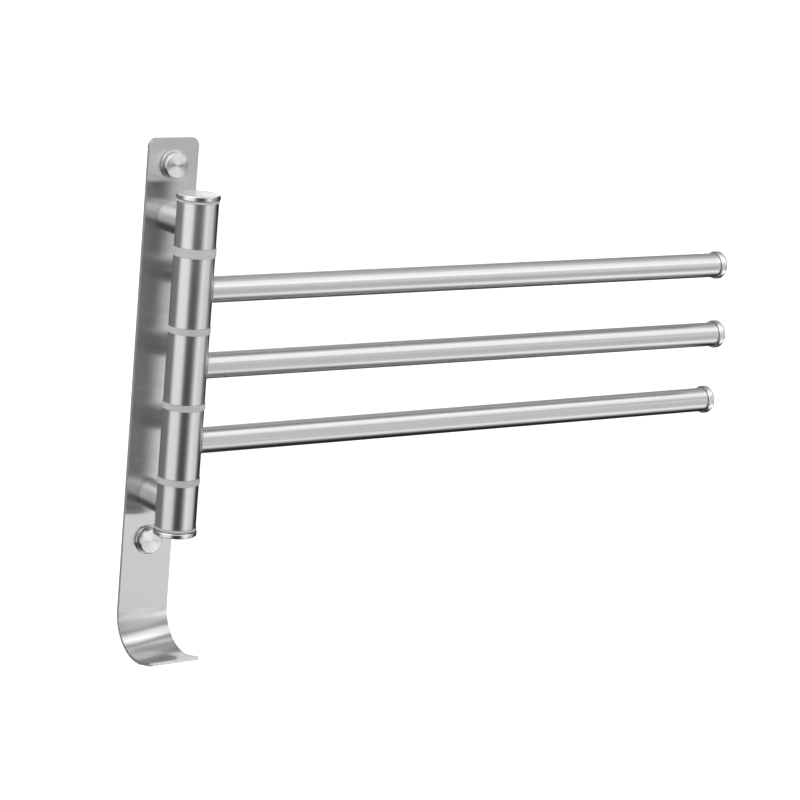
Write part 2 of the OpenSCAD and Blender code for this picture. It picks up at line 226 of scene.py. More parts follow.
class TowelBarTurned(bpy.types.PropertyGroup):
    """Sizes of the turned and moulded pieces."""

    shaft_bore: size("Shaft Bore", "Radius of the bores for the shaft", 4.05)
    spigot_radius: size("Spigot Radius", "Radius of a ring's spigots", 10.95)
    ring_rim: size("Ring Rim", "Rounding of a bearing ring's rims", 0.5)
    face_play: size(
        "Face Play", "Running gap between a bearing ring's flange and the tubes beside it", 0.01, 6
    )
    boss_radius: size("Boss Radius", "Radius of the boss inside a post cap", 7)
    cap_bevel: size("Cap Bevel", "Bevel along a post cap's rims", 0.45)
    cap_floor: size("Cap Floor", "Steel left over the end of the shaft", 1.2)
    neck_radius: size("Neck Radius", "Neck over the bottom cap's disc", 11)
    disc_height: size("Disc Height", "Disc of a post cap", 3)
    plug_length: size("Plug Length", "Plug of an end cap", 10)
    end_cap_radius: size("End Cap Radius", "Radius of an end cap", 9.2)
    end_cap_height: size("End Cap Height", "Head of an end cap", 5.5)
    end_cap_relief: size("End Cap Relief", "Relief behind an end cap's rim", 0.4)
    end_cap_round: size("End Cap Round", "Rounding of an end cap's rim", 1.8)
    cover_groove: size("Cover Groove", "Groove between a screw cover's cap and its base", 0.6)
    cover_bevel: size("Cover Bevel", "Bevel round a screw cover's face", 0.6)
    edge: size("Edge", "Broken edge of a turned piece", 0.12)


class TowelBarPlate(bpy.types.PropertyGroup):
    """Sizes of the back plate's finish."""

    edge: size("Edge", "Rounding along the plate's tumbled edges", 0.35)
    bend_radius: size("Bend Radius", "Outer radius of the hook's bend", 26)


class TowelBarFixings(bpy.types.PropertyGroup):
    """Sizes of the wall screws' threads and of the weld beads."""

    pitch: size("Pitch", "Pitch of a wall screw's thread", 1.75)
    root_radius: size("Root Radius", "Radius under the thread", 1.42)
    thread_height: size("Thread Height", "Height of the thread", 0.58)
    point: size("Point", "Length of a wall screw's point", 4)
    bead: size("Bead", "Radius of a weld bead", 0.5)
    ripples: IntProperty(
        name="Ripples", description="Ripples in an arm's weld bead", default=54, min=1
    )
    ripple: share("Ripple", "Share by which a ripple swells the bead", 0.1, 0.5)


class TowelBarFinish(bpy.types.PropertyGroup):
    """Colours and surfaces of the steel and of the plastic."""

    steel: colour("Steel", "Colour of the stainless steel", (0.705, 0.705, 0.705))
    steel_dark: colour("Steel Lines", "Colour down in the brushed lines", (0.655, 0.655, 0.655))
    roughness: share("Roughness", "Roughness of the brushed steel", 0.34)
    smear: share(
        "Smear", "How much more the brushed steel spreads a reflection across its lines", 0.82
    )
    line_depth: size("Line Depth", "Depth of the brushed lines", 0.0008, 7)
    plastic: colour("Plastic", "Colour of the bearing rings", (0.43, 0.43, 0.425))


class TowelBarStudio(bpy.types.PropertyGroup):
    """The camera's place and the studio's light."""

    focal_length: number("Focal Length", "The camera's lens", 131.894, subtype="DISTANCE_CAMERA")
    place: FloatVectorProperty(
        name="Place",
        description="Where the camera stands",
        default=(-0.950310, -1.448070, 0.386200),
        subtype="TRANSLATION",
        size=3,
    )
    azimuth: angle("Azimuth", "Way the camera looks, from the wall's normal", -38.1629)
    elevation: angle("Elevation", "Height of the camera over the horizon", 13.0973)
    roll: angle("Roll", "Tilt of the camera about its own axis", 5.0255)
    light: number("Light", "Strength of all the soft lights together", 1.0, min=0.0)
    ambient: number("Ambient", "Strength of the light between the soft lights", 0.02, min=0.0)
    strip_distance: number(
        "Strip Distance",
        "Distance of the strips of light from the arms' line",
        0.47,
        unit="LENGTH",
        min=0.43,
    )
    floor_drop: number(
        "Floor Drop", "Depth of the floor below the hook", 1.05, unit="LENGTH", min=0.1
    )


class TowelBarSettings(bpy.types.PropertyGroup):
    """Everything that can be set on the towel bar."""

    tubes: PointerProperty(type=TowelBarTubes)
    turned: PointerProperty(type=TowelBarTurned)
    plate: PointerProperty(type=TowelBarPlate)
    fixings: PointerProperty(type=TowelBarFixings)
    finish: PointerProperty(type=TowelBarFinish)
    studio: PointerProperty(type=TowelBarStudio)


# Node trees


def arithmetic(operation, reflected=False):
    """A method that adds a Math node for a wire."""

    def apply(self, *others):
        values = (*others, self) if reflected else (self, *others)
        return self.tree.math(operation, *values)

    return apply


class Wire:
    """A node's output. Arithmetic on wires and numbers adds Math nodes."""

    def __init__(self, tree, node, output=None):
        self.tree = tree
        self.node = node
        self.socket = output or next(s for s in node.outputs if s.enabled)

    def of(self, name):
        """Another output of the same node."""
        return Wire(self.tree, self.node, self.node.outputs[name])

    __add__ = __radd__ = arithmetic("ADD")
    __sub__ = arithmetic("SUBTRACT")
    __rsub__ = arithmetic("SUBTRACT", reflected=True)
    __mul__ = __rmul__ = arithmetic("MULTIPLY")
    __truediv__ = arithmetic("DIVIDE")
    __pow__ = arithmetic("POWER")
    __gt__ = arithmetic("GREATER_THAN")
    __abs__ = arithmetic("ABSOLUTE")


class Tree:
    """Adds nodes to the node tree of a material, a world or a modifier."""

    def __init__(self, tree):
        self.tree = tree
        tree.nodes.clear()

    def add(self, kind, settings=None, sockets=None):
        """Adds a node of that type, with its settings first and then its sockets' values or
        links."""
        node = self.tree.nodes.new(kind)
        for name, value in (settings or {}).items():
            setattr(node, name, value)
        for name, value in (sockets or {}).items():
            if isinstance(name, int):
                socket = node.inputs[name]
            else:
                socket = next(s for s in node.inputs if s.name == name and s.enabled)
            if isinstance(value, Wire):
                self.tree.links.new(value.socket, socket)
            else:
                socket.default_value = value
        return Wire(self, node) if any(s.enabled for s in node.outputs) else node

    def math(self, operation, *values):
        """A Math node."""
        return self.add("ShaderNodeMath", {"operation": operation}, dict(enumerate(values)))

    def vector(self, x, y, z):
        """A vector from its three parts."""
        return self.add("ShaderNodeCombineXYZ", {}, {0: x, 1: y, 2: z})

    def parts(self, vector):
        """The three parts of a vector."""
        split = self.add("ShaderNodeSeparateXYZ", {}, {0: vector})
        return [split.of(axis) for axis in "XYZ"]

    def between(self, value, start, end):
        """0 where value is at start, 1 where it is at end, and smooth between them."""
        return self.add(
            "ShaderNodeMapRange",
            {"interpolation_type": "SMOOTHSTEP"},
            {"Value": value, "From Min": start, "From Max": end, "To Min": 0.0, "To Max": 1.0},
        )

    def band(self, value, low, high, soft):
        """1 between low and high and 0 beyond them, with soft edges."""
        return self.between(value, low - soft, low + soft) - self.between(
            value, high - soft, high + soft
        )

    def blend(self, factor, first, second):
        """A mix of two colours."""
        return self.add(
            "ShaderNodeMix",
            {"data_type": "RGBA"},
            {"Factor": factor, "A": first, "B": second},
        )

    def noise(self, where, scale, detail=2.0):
        """Noise from 0 to 1, with so many features to the metre, or so many along each axis."""
        scale = (scale,) * 3 if isinstance(scale, float) else scale
        place = self.add("ShaderNodeVectorMath", {"operation": "MULTIPLY"}, {0: where, 1: scale})
        return self.add(
            "ShaderNodeTexNoise", {}, {"Vector": place, "Scale": 1.0, "Detail": detail}
        )

    def bump(self, strength, distance, height, width=0.1):
        """A normal from a height, as deep as the distance."""
        return self.add(
            "ShaderNodeBump",
            {},
            {"Strength": strength, "Distance": distance, "Filter Width": width, "Height": height},
        )

    def surface(self, sockets):
        """The Principled shader, as the material's surface."""
        shader = self.add("ShaderNodeBsdfPrincipled", {}, sockets)
        self.add("ShaderNodeOutputMaterial", {}, {"Surface": shader})


def new_material(name):
    """A material, and the tree to build it with."""
    material = bpy.data.materials.new(name)
    material.use_nodes = True
    return material, Tree(material.node_tree)


def opaque(tone):
    """A colour with no transparency."""
    return (*tone, 1.0)


def coordinates(tree, name=""):
    """Where a pattern lies: along a piece's own attribute, or on the object's coordinates."""
    if name:
        return tree.add("ShaderNodeAttribute", {"attribute_name": name}).of("Vector")
    return tree.add("ShaderNodeTexCoord").of("Object")


# Finishes. A turned or brushed piece carries its lines in the attribute "grain": the third
# number runs across the lines, and the first two run along them.


def made_once(make):
    """Lets several pieces share a finish of the same name."""

    def get(name, *values):
        return bpy.data.materials.get(name) or make(name, *values)

    return get


@made_once
def brushed_steel(name, finish):
    """Stainless steel, brushed or turned, as its row in the table of steels says."""
    look = {
        "roughness": finish.roughness,
        "smear": finish.smear,
        "smear_turn": 0.0,
        "depth": 1.0,
        "grain": "grain",
        **STEELS[name],
    }
    material, tree = new_material(name)
    along = coordinates(tree, look["grain"])
    lines, lines_in_strand = look["lines"], 3.5
    fine = tree.noise(along, (70.0, 70.0, lines), detail=3.0)
    strands = tree.noise(along, (28.0, 28.0, lines / lines_in_strand))
    cloud = tree.noise(coordinates(tree), 26.0)
    tone = tree.between(0.45 * fine + 0.35 * strands + 0.2 * cloud, 0.32, 0.68)
    depth = finish.line_depth * look["depth"]
    tree.surface(
        {
            "Base Color": tree.blend(tone, opaque(finish.steel_dark), opaque(finish.steel)),
            "Metallic": 1.0,
            "Roughness": look["roughness"] + 0.06 * (strands - 0.5) + 0.05 * (cloud - 0.5),
            "Anisotropic": look["smear"],
            "Anisotropic Rotation": look["smear_turn"],
            "Normal": tree.bump(1.0, depth, fine + 2.0 * strands, width=0.02),
        }
    )
    return material


@made_once
def weld_steel(name):
    """The bead of a weld: melted steel, a little darker and warmer than the tubes."""
    material, tree = new_material(name)
    place = coordinates(tree)
    cloud = tree.noise(place, 300.0, detail=3.0)
    tree.surface(
        {
            "Base Color": tree.blend(cloud, (0.40, 0.395, 0.385, 1.0), (0.62, 0.62, 0.62, 1.0)),
            "Metallic": 1.0,
            "Roughness": 0.28 + 0.2 * cloud,
            "Normal": tree.bump(0.6, 0.02 * MM, tree.noise(place, 1500.0)),
        }
    )
    return material


@made_once
def plated_screw(name):
    """Zinc-plated screw steel, faintly mottled."""
    material, tree = new_material(name)
    place = coordinates(tree)
    mottle = tree.noise(place, 900.0, detail=4.0)
    wear = tree.noise(place, 160.0)
    spots = tree.between(mottle, 0.35, 0.65)
    tree.surface(
        {
            "Base Color": tree.blend(spots, (0.50, 0.50, 0.49, 1.0), (0.68, 0.68, 0.67, 1.0)),
            "Metallic": 1.0,
            "Roughness": 0.3 + 0.18 * wear,
            "Normal": tree.bump(0.4, 0.01 * MM, mottle),
        }
    )
    return material


@made_once
def moulded_plastic(name, finish):
    """Pale nylon from a spark-eroded mould: matt, faintly cloudy, light passing a little way in."""
    material, tree = new_material(name)
    place = coordinates(tree)
    cloud = tree.noise(place, 60.0, detail=3.0)
    grit = tree.noise(place, 2600.0)
    flow = tree.noise(coordinates(tree, "grain"), (90.0, 90.0, 700.0))
    dullest = 0.86
    dull = [dullest * part for part in finish.plastic]
    tone = tree.between(0.6 * cloud + 0.4 * flow, 0.35, 0.65)
    tree.surface(
        {
            "Base Color": tree.blend(tone, opaque(dull), opaque(finish.plastic)),
            "Roughness": 0.42 + 0.16 * grit,
            "IOR": 1.53,
            "Subsurface Weight": 0.25,
            "Subsurface Radius": (1.0, 1.0, 1.0),
            "Subsurface Scale": 1.5 * MM,
            "Normal": tree.bump(0.5, 0.012 * MM, grit + cloud),
        }
    )
    return material


# Turned shapes. A point closer to the axis than ON_AXIS lies on it.

ON_AXIS = 1e-7
ARC_STEP = math.radians(15)


def round_corners(corners, closed):
    """Points of an outline from corners (radius, height[, rounding]), each rounded by an arc."""
    points = []
    corners = [c for i, c in enumerate(corners) if not i or c[:2] != corners[i - 1][:2]]
    last = len(corners) - 1
    for i, (r, h, *rounding) in enumerate(corners):
        here = Vector((r, h))
        if not rounding or (not closed and i in (0, last)):
            points.append(here)
            continue
        before = (Vector(corners[i - 1][:2]) - here).normalized()
        after = (Vector(corners[(i + 1) % len(corners)][:2]) - here).normalized()
        half = before.angle(after) / 2
        centre = here + (before + after).normalized() * rounding[0] / math.sin(half)
        start = here + before * rounding[0] / math.tan(half) - centre
        arc = start.angle_signed(here + after * rounding[0] / math.tan(half) - centre)
        steps = max(3, math.ceil(abs(arc) / ARC_STEP))
        for k in range(steps + 1):
            points.append(centre + Matrix.Rotation(-arc * k / steps, 2) @ start)
    return points


def with_supports(points, closed, gap=0.05 * MM, room=6):
    """The outline with a point close to both ends of each straight that has room for them, so
    that shading stays flat."""
    found = []
    for i, here in enumerate(points):
        found.append(here)
        if i == len(points) - 1 and not closed:
            break
        way = points[(i + 1) % len(points)] - here
        if way.length > room * gap:
            step = way.normalized() * gap
            found += [here + step, here + way - step]
    return found


def mesh_from(shape, name):
    """A mesh from a bmesh, which is freed."""
    mesh = bpy.data.meshes.new(name)
    shape.to_mesh(mesh)
    shape.free()
    return mesh


def turned_mesh(name, corners, place, closed=False, segments=160):
    """A mesh turned from an outline round the Z of place, with its lines' coordinates in it."""
    outline = with_supports(round_corners(corners, closed), closed)
    shape = bmesh.new()
    grain = shape.verts.layers.float_vector.new("grain")
    rings = []
    length = 0.0
    width = max(p.x for p in outline)
    for i, point in enumerate(outline):
        if i:
            length += (point - outline[i - 1]).length
        off_axis = point.x > ON_AXIS
        ring = []
        for k in range(segments if off_axis else 1):
            turn = 2 * math.pi * k / segments
            c, s = math.cos(turn), math.sin(turn)
            vertex = shape.verts.new((point.x * c, point.x * s, point.y))
            vertex[grain] = (width * c, width * s, length) if off_axis else (0, 0, length)
            ring.append(vertex)
        rings.append(ring)
    for i in range(len(rings) if closed else len(rings) - 1):
        pair = rings[i], rings[(i + 1) % len(rings)]
        for k in range(segments):
            lower, upper = ([ring[n % len(ring)] for n in (k, (k + 1) % segments)] for ring in pair)
            face = list(dict.fromkeys([*lower, *reversed(upper)]))
            if len(face) > 2:
                shape.faces.new(face)
    bmesh.ops.recalc_face_normals(shape, faces=shape.faces)
    mesh = mesh_from(shape, name)
    mesh.shade_smooth()
    mesh.transform(place)
    return mesh


def dress(mesh, material):
    """Gives the mesh this material alone."""
    mesh.materials.clear()
    mesh.materials.append(material)


def show(name, mesh, material=None):
    """An object for a mesh, in the scene."""
    thing = bpy.data.objects.new(name, mesh)
    bpy.context.scene.collection.objects.link(thing)
    if material:
        dress(mesh, material)
    return thing


def plain_mesh(thing):
    """A mesh of the object as its modifiers leave it."""
    ready = thing.evaluated_get(bpy.context.evaluated_depsgraph_get())
    return bpy.data.meshes.new_from_object(ready)


def fit(piece, node, body, slot):
    """The piece stands for the node and rides on the body. The slot is not used."""
    if piece.modifiers:
        raise RuntimeError(f"{piece.name} still has a live modifier")
    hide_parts(node)
    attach(piece, body)


def turn_piece(way, node, outline, place, material, body="bracket", slot="turned_steel", **how):
    """Turns a piece from its outline and fits it in the node's place."""
    name = f"{way}_{node}"
    fit(show(name, turned_mesh(name, outline, place, **how), material), node, body, slot)


def aim_smear(mesh, turn):
    """Sets the mesh's texture space far off to the side, so that brushed steel spreads its
    reflections along the level direction that lies turned so far from +X."""
    far = 50.0
    mesh.use_auto_texspace = False
    mesh.texspace_size = (far, far, far)
    mesh.texspace_location = (math.sin(turn) * far, -math.cos(turn) * far, 0.0)


def on_wall(z):
    """Place of a piece turned round an axis out of the wall, at height z."""
    return Matrix.Translation((0.0, 0.0, z)) @ Matrix.Rotation(QUARTER_TURN, 4, "X")


def on_arm(arm, turn):
    """Place of a piece turned round an arm's axis, measured from the post's axis."""
    height = Matrix.Translation((0.0, 0.0, middle_of(f"{arm}_hub")))
    swing = Matrix.Rotation(-turn, 4, "Z")
    return POST_AXIS @ height @ swing @ Matrix.Rotation(QUARTER_TURN, 4, "Y")


# Geometry node trees


def geometry_tree(name, sizes, counts=()):
    """A geometry node tree with named inputs for its sizes and counts, and for the place and the
    material: the tree, its inputs' wire and its group."""
    group = bpy.data.node_groups.new(name, "GeometryNodeTree")
    tree = Tree(group)
    kinds = {
        "Geometry": "Geometry",
        **dict.fromkeys(sizes, "Float"),
        **dict.fromkeys(counts, "Int"),
        "Place": "Vector",
        "Material": "Material",
    }
    for label, kind in kinds.items():
        group.interface.new_socket(label, in_out="INPUT", socket_type=f"NodeSocket{kind}")
    group.interface.new_socket("Geometry", in_out="OUTPUT", socket_type="NodeSocketGeometry")
    return tree, tree.add("NodeGroupInput"), group


def finish_tree(tree, given, geometry):
    """Ends a tree in plain geometry with its material."""
    real = tree.add("GeometryNodeRealizeInstances", {}, {"Geometry": geometry})
    dressed = tree.add(
        "GeometryNodeSetMaterial", {}, {"Geometry": real, "Material": given.of("Material")}
    )
    tree.add("NodeGroupOutput", {}, {0: dressed})


def circle(tree, points, radius):
    """A round line of so many points."""
    sockets = {"Resolution": points, "Radius": radius}
    return tree.add("GeometryNodeCurvePrimitiveCircle", {}, sockets)


def sweep(tree, line, profile, **more):
    """A profile swept along a line."""
    sockets = {"Curve": line, "Profile Curve": profile, **more}
    return tree.add("GeometryNodeCurveToMesh", {}, sockets)


def lay_out(tree, geometry, *place):
    """Puts each point of the geometry at its own place."""
    sockets = {"Geometry": geometry, "Position": tree.vector(*place)}
    return tree.add("GeometryNodeSetPosition", {}, sockets)


def move(tree, geometry, to, turn):
    """Turns the geometry, then moves it."""
    sockets = {"Geometry": geometry, "Translation": to, "Rotation": turn}
    return tree.add("GeometryNodeTransform", {}, sockets)


def shade_by(tree, geometry, settings=None, **more):
    """Shades the geometry smooth or flat."""
    return tree.add("GeometryNodeSetShadeSmooth", settings, {"Geometry": geometry, **more})


def grow(name, group, values, mesh=None):
    """A plain mesh from a geometry node tree, with the tree's inputs set by identifier."""
    seed = show(f"{name}_seed", mesh or bpy.data.meshes.new("empty"))
    modifier = seed.modifiers.new("shape", "NODES")
    modifier.node_group = group
    for item in group.interface.items_tree:
        if item.in_out == "INPUT" and item.name in values:
            modifier[item.identifier] = values[item.name]
    grown = plain_mesh(seed)
    seed.modifiers.remove(modifier)
    bpy.data.objects.remove(seed)
    if not grown.polygons:
        raise RuntimeError(f"{name} came out empty")
    grown.name = name
    return grown


def post_face(given, y):
    """How far out the post's face lies at a distance y to the side of its axis."""
    return (given.of("Post Radius") ** 2.0 - y * y) ** 0.5


def coped_tube_tree():
    """A tube out of the post's side, its near end cut to the post's round."""
    tree, given, group = geometry_tree(
        "coped_tube", ("Radius", "Wall", "Reach", "Post Radius", "Rim", "Turn"), ("Sides",)
    )
    wall, reach = given.of("Wall"), given.of("Reach")
    section = tree.add(
        "GeometryNodeCurvePrimitiveQuadrilateral", {}, {"Width": wall, "Height": reach}
    )
    rounding = {"Curve": section, "Radius": given.of("Rim"), "Count": 3}
    section = tree.add("GeometryNodeFilletCurve", {"mode": "POLY"}, rounding)
    tube = sweep(tree, circle(tree, given.of("Sides"), given.of("Radius") - wall / 2.0), section)
    x, y, z = tree.parts(tree.add("GeometryNodeInputPosition"))
    saddle = post_face(given, y)
    out = saddle + (z + reach / 2.0) * (reach - saddle) / reach
    tube = tree.add(
        "GeometryNodeStoreNamedAttribute",
        {"data_type": "FLOAT_VECTOR", "domain": "POINT"},
        {"Geometry": tube, "Name": "grain", "Value": tree.vector(x, y, out)},
    )
    tube = lay_out(tree, tube, out, y, x * -1.0)
    crease = 0.2
    sharp = tree.add("GeometryNodeInputMeshEdgeAngle") > crease
    tube = shade_by(tree, tube, {"domain": "EDGE"}, Selection=sharp, **{"Shade Smooth": False})
    tube = move(tree, tube, given.of("Place"), tree.vector(0.0, 0.0, given.of("Turn")))
    finish_tree(tree, given, tube)
    return group


def weld_bead_tree():
    """A rippled bead along the line where a round bar meets the post."""
    tree, given, group = geometry_tree(
        "weld_bead", ("Radius", "Post Radius", "Bead", "Ripple", "Turn"), ("Ripples",)
    )
    bead, ripples = given.of("Bead"), given.of("Ripples")
    proud = bead * 0.1
    points_in_ripple = 6.0
    line = circle(tree, ripples * points_in_ripple, given.of("Radius") + proud)
    x, y, _ = tree.parts(tree.add("GeometryNodeInputPosition"))
    line = lay_out(tree, line, post_face(given, y) + proud, y, x * -1.0)
    wave = tree.add("GeometryNodeSplineParameter") * ripples * (2.0 * math.pi)
    swell = 1.0 + given.of("Ripple") * tree.math("SINE", wave)
    tube = shade_by(tree, sweep(tree, line, circle(tree, 14, bead), Scale=swell))
    tube = move(tree, tube, given.of("Place"), tree.vector(0.0, 0.0, given.of("Turn")))
    finish_tree(tree, given, tube)
    return group


def screw_thread_tree():
    """Winds a thread round a screw's core, from its tip up, tapered over the point."""
    tree, given, group = geometry_tree(
        "screw_thread", ("Pitch", "Length", "Root Radius", "Thread Height", "Point", "Depth")
    )
    length, point, pitch = given.of("Length"), given.of("Point"), given.of("Pitch")
    root = given.of("Root Radius")
    winding = {"Resolution": 24, "Rotations": length / pitch, "Height": length}
    spiral = tree.add(
        "GeometryNodeCurveSpiral", {}, {"Start Radius": root, "End Radius": root, **winding}
    )

    def held(value, lowest):
        """The value, but not under the lowest and not over 1."""
        sockets = {"Value": value, "Min": lowest, "Max": 1.0}
        return tree.add("ShaderNodeClamp", {}, sockets)

    # The whole thread tapers over the screw's point, and thins out where it starts and ends.
    x, y, z = tree.parts(tree.add("GeometryNodeInputPosition"))
    taper = held(z / point, 0.08)
    way = tree.add("GeometryNodeSplineParameter")
    run_out = held((1.0 - way) * length / pitch, 0.05)
    run_in = held(0.15 + way * length / point, 0.05)
    wound = lay_out(tree, spiral, x * taper, y * taper, z)
    profile = circle(tree, 4, given.of("Thread Height"))
    thread = sweep(tree, wound, profile, Scale=run_in * run_out, **{"Fill Caps": True})
    thread = shade_by(tree, thread, **{"Shade Smooth": False})
    to_tip = tree.vector(0.0, 0.0, given.of("Depth") * -1.0)
    thread = move(tree, thread, to_tip, (0.0, 0.0, 0.0))
    thread = move(tree, thread, given.of("Place"), (QUARTER_TURN, 0.0, 0.0))
    both = tree.add("GeometryNodeJoinGeometry", {}, {"Geometry": thread})
    tree.tree.links.new(given.of("Geometry").socket, both.node.inputs[0])
    finish_tree(tree, given, both)
    return group


def weld_bar(settings, trees, bead_name, node, body, slot, bar, tube, bead):
    """Finishes a round bar that is coped to the post, and the weld bead that joins it there. The
    bar's values go to both of the trees, and the tube's to the first of them."""
    name = f"brushed_{node}"
    bar = {**bar, "Post Radius": POST_RADIUS}
    mesh = grow(name, trees[0], {**bar, **tube})
    aim_smear(mesh, bar["Turn"])
    fit(show(name, mesh), node, body, slot)
    values = {
        **bar,
        "Bead": bead,
        "Ripples": settings.fixings.ripples,
        "Ripple": settings.fixings.ripple,
        "Material": weld_steel("weld_steel"),
    }
    piece = show(bead_name, grow(bead_name, trees[1], values))
    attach(piece, body)


# Operators


class TOWELBAR_OT_back_plate(bpy.types.Operator):
    """Finish the back plate: one brushed steel strip, bent into the hook, with tumbled edges"""

    bl_idname = "towelbar.back_plate"
    bl_label = "Back Plate"

    def execute(self, context):
        settings = context.scene.towel_bar
        name = "brushed_back_plate"
        shape = bmesh.new()
        shape.from_mesh(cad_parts["back_plate"].data)
        bmesh.ops.remove_doubles(shape, verts=shape.verts, dist=1e-6)
        bmesh.ops.dissolve_limit(
            shape, angle_limit=math.radians(0.2), verts=shape.verts, edges=shape.edges
        )
        mesh = mesh_from(shape, name)
        mesh.materials.clear()
        piece = show(name, mesh)
        bevel = piece.modifiers.new("tumbled_edges", "BEVEL")
        bevel.width = settings.plate.edge
        bevel.segments = 3
        bevel.limit_method = "ANGLE"
        bevel.angle_limit = math.radians(40)
        bevel.miter_outer = "MITER_ARC"
        bevel.harden_normals = True
        rounded = plain_mesh(piece)
        piece.modifiers.clear()
        piece.data = rounded
        rounded.name = name
        self.lay_grain(rounded, settings.plate.bend_radius)
        aim_smear(rounded, 0.0)
        dress(rounded, brushed_steel("brushed_plate_steel", settings.finish))
        fit(piece, "back_plate", "bracket", "plate_steel")
        return {"FINISHED"}

    def lay_grain(self, mesh, bend_radius):
        """Runs the brushed lines down the strip and round its bend."""
        seam = -1.0  # the angle at which the turn round the bend starts again, on its open side
        low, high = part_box("back_plate")
        bend = Vector((0.0, -bend_radius, low.z + bend_radius))
        grain = mesh.attributes.new("grain", "FLOAT_VECTOR", "POINT")
        for vertex, lines in zip(mesh.vertices, grain.data):
            x, y, z = vertex.co
            if z > bend.z and y > bend.y:
                down = high.z - z
            else:
                turn = math.atan2(bend.z - z, y - bend.y)
                turn += 2 * math.pi if turn <= seam else 0.0
                down = high.z - bend.z + bend_radius * turn
            lines.vector = (down, 0.5 * y, x)


class TOWELBAR_OT_standoffs(bpy.types.Operator):
    """Finish the two standoffs between the plate and the post, and their weld beads"""

    bl_idname = "towelbar.standoffs"
    bl_label = "Standoffs"

    def execute(self, context):
        settings = context.scene.towel_bar
        trees = coped_tube_tree(), weld_bead_tree()
        screw_bore = 2.05 * MM
        tube = {
            "Wall": STANDOFF_RADIUS - screw_bore,
            "Reach": PLATE_FRONT - POST_AXIS.translation.y,
            "Rim": settings.tubes.foot_rim,
            "Sides": 128,
            "Material": brushed_steel("brushed_standoff_steel", settings.finish),
        }
        slimmer = 0.7
        bead = settings.fixings.bead * slimmer
        for node in ("upper_standoff", "lower_standoff"):
            place = POST_AXIS @ Vector((0.0, 0.0, middle_of(node)))
            bar = {"Radius": STANDOFF_RADIUS, "Turn": QUARTER_TURN, "Place": place}
            names = f"{node}_weld", node, "bracket", "standoff_steel"
            weld_bar(settings, trees, *names, bar, tube, bead)
        return {"FINISHED"}


class TOWELBAR_OT_post_tubes(bpy.types.Operator):
    """Finish the tubes of the post: a fixed sleeve at each end and the three hubs between them"""

    bl_idname = "towelbar.post_tubes"
    bl_label = "Sleeves and Hubs"

    def execute(self, context):
        settings = context.scene.towel_bar
        steel = brushed_steel("brushed_post_steel", settings.finish)
        bore = POST_RADIUS - settings.tubes.post_wall
        rim = settings.tubes.rim
        for node, body in STACK.items():
            low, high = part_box(node)
            outline = [
                (bore, low.z), (POST_RADIUS, low.z, rim),
                (POST_RADIUS, high.z, rim), (bore, high.z),
            ]
            slot = "post_steel"
            turn_piece("brushed", node, outline, POST_AXIS, steel, body, slot, closed=True)
        return {"FINISHED"}


class TOWELBAR_OT_bearing_rings(bpy.types.Operator):
    """Finish the moulded rings: four between the tubes of the post and one under each cap"""

    bl_idname = "towelbar.bearing_rings"
    bl_label = "Bearing Rings"

    def execute(self, context):
        settings = context.scene.towel_bar
        turned = settings.turned
        bore, spigot, play = turned.shaft_bore, turned.spigot_radius, turned.face_play
        outlines = {}
        stack = list(STACK)
        for rank, above, below in zip(("first", "second", "third", "fourth"), stack, stack[1:]):
            node = f"{rank}_ring"
            low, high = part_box(node)
            foot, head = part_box(below)[1].z + play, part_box(above)[0].z - play
            outlines[node] = [
                (bore, low.z), (spigot, low.z), (spigot, foot),
                (RING_RADIUS, foot, turned.ring_rim), (RING_RADIUS, head, turned.ring_rim),
                (spigot, head), (spigot, high.z), (bore, high.z),
            ]
        hole, thin_rim = turned.boss_radius + THREAD_PLAY, turned.ring_rim / 2
        for node, sleeve, up in (
            ("top_ring", "upper_sleeve", True),
            ("bottom_ring", "lower_sleeve", False),
        ):
            tail, head = ends_of(node, up)
            _, face = ends_of(sleeve, up)
            outlines[node] = [
                (hole, tail), (spigot, tail), (spigot, face), (RING_RADIUS, face, thin_rim),
                (RING_RADIUS, head, thin_rim), (hole, head),
            ]
        plastic = moulded_plastic("moulded_nylon", settings.finish)
        for node, outline in outlines.items():
            turn_piece("moulded", node, outline, POST_AXIS, plastic, slot="nylon", closed=True)
        return {"FINISHED"}


class TOWELBAR_OT_post_caps(bpy.types.Operator):
    """Finish the turned caps at the top and at the foot of the post"""

    bl_idname = "towelbar.post_caps"
    bl_label = "Post Caps"

    def execute(self, context):
        settings = context.scene.towel_bar
        turned = settings.turned
        steel = brushed_steel("turned_cap_steel", settings.finish)
        edge, bevel, bore = turned.edge, turned.cap_bevel, turned.shaft_bore
        for end_name, sign in (("top", 1), ("bottom", -1)):
            node = f"{end_name}_cap"
            tail, face = ends_of(node, sign > 0)
            _, seat = ends_of(f"{end_name}_ring", sign > 0)
            foot = face - sign * turned.disc_height
            end = face - sign * turned.cap_floor
            outline = [
                (0.0, end), (bore, end), (bore, tail), (turned.boss_radius, tail),
                (turned.boss_radius, seat), (turned.neck_radius, seat),
                (turned.neck_radius, foot), (CAP_RADIUS - bevel, foot, edge),
                (CAP_RADIUS, foot + sign * bevel, edge),
                (CAP_RADIUS, face - sign * bevel, edge), (CAP_RADIUS - bevel, face, edge),
                (0.0, face),
            ]
            turn_piece("turned", node, outline, POST_AXIS, steel)
        return {"FINISHED"}


